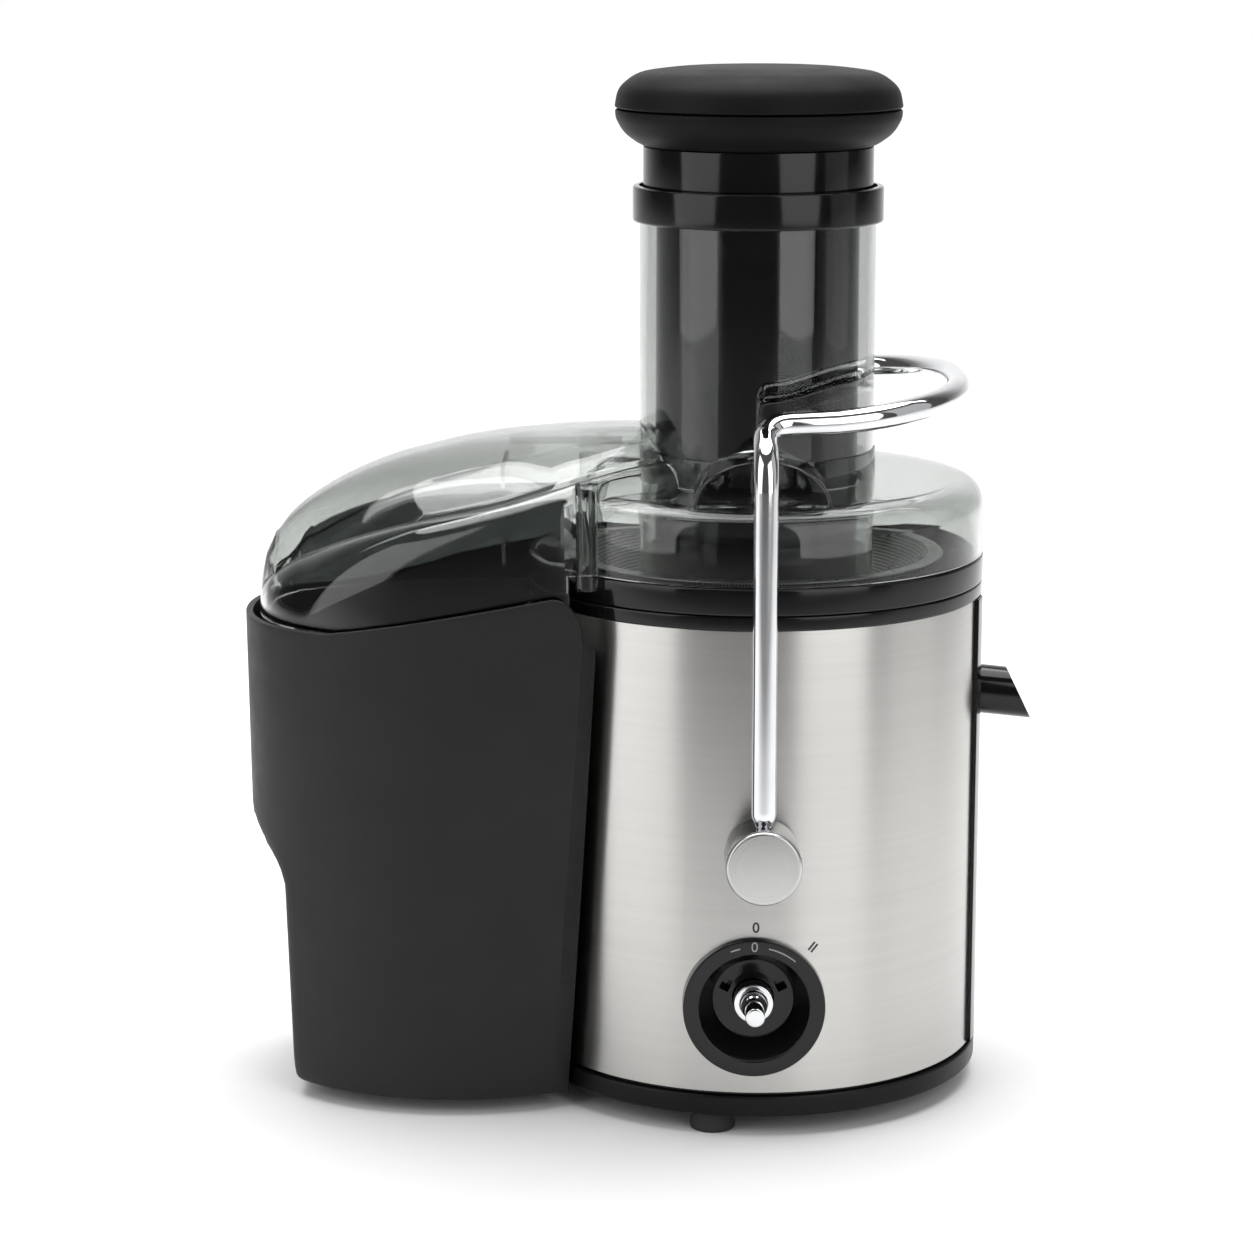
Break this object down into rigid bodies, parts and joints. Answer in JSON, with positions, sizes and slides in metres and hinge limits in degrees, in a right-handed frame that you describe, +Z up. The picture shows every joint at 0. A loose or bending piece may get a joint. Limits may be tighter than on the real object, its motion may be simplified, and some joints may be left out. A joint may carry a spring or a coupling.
{
  "type": "centrifugal juicer",
  "caption": "Upright centrifugal juicer: round steel motor base, clear lid with feed chute and pusher, side pulp bin, locking bail and rotary speed dial.",
  "frame": {"origin": "centre of the footprint on the surface the juicer stands on; the motor's spin axis is the vertical line x = 0.0445 m, y = 0", "axes": "+Z up along the spin axis, +X from the pulp bin towards the juice spout, -Y towards the front with the dial"},
  "size_m": [0.304, 0.2168, 0.3913],
  "materials": {
    "black_plastic": "moulded black ABS, semi-gloss",
    "charcoal_plastic": "fine spark-eroded matte texture",
    "brushed_steel": "brushed stainless sheet",
    "chrome": "polished chrome plate",
    "clear_plastic": "smoky clear polycarbonate, polished",
    "rubber": "moulded rubber",
    "motor_iron": "machined and laminated iron",
    "copper": "enamelled copper",
    "carbon": "pressed carbon",
    "circuit_board": "solder-masked board",
    "grey_plastic": "moulded engineering plastic"
  },
  "bodies": {
    "base": {"base_plate": "black_plastic", "base_screw_1": "chrome", "base_screw_2": "chrome", "base_screw_3": "chrome", "chute_collar": "black_plastic", "circuit_board": "circuit_board", "cord_inlet": "rubber", "filter_capacitor": "grey_plastic", "foot_1": "rubber", "foot_2": "rubber", "foot_3": "rubber", "front_brush": "carbon", "front_pivot_pin": "motor_iron", "interlock_switch": "grey_plastic", "juice_bowl": "black_plastic", "lid": "clear_plastic", "lower_bearing": "motor_iron", "lower_field_winding": "copper", "lower_motor_bracket": "motor_iron", "motor_damper_1": "rubber", "motor_damper_2": "rubber", "motor_damper_3": "rubber", "motor_housing": "black_plastic", "motor_post_1": "brushed_steel", "motor_post_2": "brushed_steel", "motor_post_3": "brushed_steel", "rear_brush": "carbon", "rear_cover": "black_plastic", "rear_pivot_pin": "motor_iron", "rotary_switch": "grey_plastic", "shaft_seal": "rubber", "side_trim_left": "black_plastic", "side_trim_right": "black_plastic", "stator_core": "motor_iron", "steel_front": "brushed_steel", "upper_bearing": "motor_iron", "upper_field_winding": "copper", "upper_motor_bracket": "motor_iron"},
    "spindle": {"motor_shaft": "motor_iron", "rotor_core": "motor_iron", "commutator": "copper", "cooling_fan": "grey_plastic", "drive_coupling": "grey_plastic", "basket_hub": "black_plastic", "filter_basket": "brushed_steel", "grater_disc": "brushed_steel", "basket_nut": "chrome"},
    "bail": {"bail_wire": "chrome", "front_hub": "chrome", "front_hub_cap": "brushed_steel", "rear_hub": "chrome", "rear_hub_cap": "brushed_steel"},
    "pusher": {"pusher_body": "black_plastic", "pusher_cap_lower": "charcoal_plastic", "pusher_cap_upper": "charcoal_plastic"},
    "dial": {"dial": "black_plastic", "dial_bush": "chrome", "dial_spindle": "chrome"},
    "bin": {"pulp_bin": "charcoal_plastic"},
    "spout": {"juice_spout": "black_plastic"}
  },
  "joints": [
    {"name": "spindle_spin", "type": "hinge", "parent": "base", "child": "spindle", "pos_m": [0.0445, 0, 0.1], "axis": [0, 0, 1], "continuous": true},
    {"name": "bail_swing", "type": "hinge", "parent": "base", "child": "bail", "pos_m": [0.0445, 0, 0.109], "axis": [0, 1, 0], "range_deg": [0, 90]},
    {"name": "pusher_lift", "type": "slide", "parent": "base", "child": "pusher", "axis": [0, 0, 1], "range_m": [0, 0.17]},
    {"name": "dial_turn", "type": "hinge", "parent": "base", "child": "dial", "pos_m": [0.042, -0.0865, 0.0503], "axis": [0, 1, 0], "range_deg": [0, 45]},
    {"name": "bin_pull", "type": "slide", "parent": "base", "child": "bin", "axis": [-1, 0, 0], "range_m": [0, 0.14]},
    {"name": "spout_pull", "type": "slide", "parent": "base", "child": "spout", "axis": [0.9945, 0, -0.1045], "range_m": [0, 0.035]}
  ]
}
